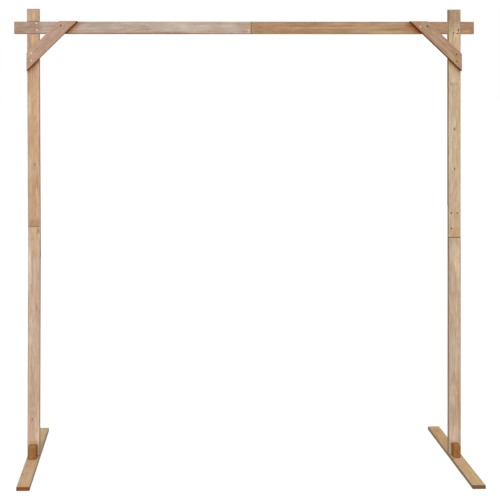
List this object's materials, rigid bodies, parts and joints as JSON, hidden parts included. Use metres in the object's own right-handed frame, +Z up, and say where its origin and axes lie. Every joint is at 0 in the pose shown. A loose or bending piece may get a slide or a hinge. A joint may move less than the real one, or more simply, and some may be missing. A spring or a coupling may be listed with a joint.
{
  "type": "wedding arch",
  "caption": "Free-standing open wooden frame on two cross feet, with a beam across two posts and a brace in each corner, for draping cloth or flowers over a walkway.",
  "frame": {"origin": "on the floor, midway between the ends of the beam and midway along the feet", "axes": "+X to the right seen from the front, along the beam; -Y to the front, where the braces are; +Z up"},
  "size_m": [2.395, 0.61, 2.3416],
  "materials": {
    "pale_pine": "planed, unfinished, lightly weathered",
    "tan_pine": "planed, unfinished, aged to orange tan",
    "grey_pine": "planed, unfinished, weathered grey",
    "stained_pine": "sawn off-cut, stained brown",
    "bright_screw": "yellow zinc, bright",
    "dark_screw": "dark bronze coating"
  },
  "bodies": {
    "root": {"left_foot": "pale_pine", "right_foot": "pale_pine", "left_foot_block": "stained_pine", "right_foot_block": "stained_pine", "left_post_lower": "pale_pine", "left_post_upper": "pale_pine", "right_post_lower": "pale_pine", "right_post_upper": "pale_pine", "beam_left": "grey_pine", "beam_right": "tan_pine", "left_brace": "tan_pine", "right_brace": "tan_pine", "left_crossing_screw_1": "bright_screw", "left_crossing_screw_2": "bright_screw", "left_crossing_screw_3": "bright_screw", "left_crossing_screw_4": "bright_screw", "right_crossing_screw_1": "dark_screw", "right_crossing_screw_2": "dark_screw", "right_crossing_screw_3": "dark_screw", "right_crossing_screw_4": "dark_screw", "beam_splice_screw_1": "bright_screw", "beam_splice_screw_2": "bright_screw", "beam_splice_screw_3": "bright_screw", "beam_splice_screw_4": "bright_screw", "left_post_splice_screw_1": "bright_screw", "left_post_splice_screw_2": "bright_screw", "left_post_splice_screw_3": "bright_screw", "left_post_splice_screw_4": "bright_screw", "right_post_splice_screw_1": "dark_screw", "right_post_splice_screw_2": "dark_screw", "right_post_splice_screw_3": "dark_screw", "right_post_splice_screw_4": "dark_screw", "left_brace_screw_1": "bright_screw", "left_brace_screw_2": "bright_screw", "left_brace_screw_3": "dark_screw", "left_brace_screw_4": "bright_screw", "right_brace_screw_1": "dark_screw", "right_brace_screw_2": "dark_screw", "right_brace_screw_3": "dark_screw", "right_brace_screw_4": "bright_screw", "left_foot_screw_1": "dark_screw", "left_foot_screw_2": "dark_screw", "right_foot_screw_1": "dark_screw", "right_foot_screw_2": "dark_screw"}
  },
  "joints": []
}
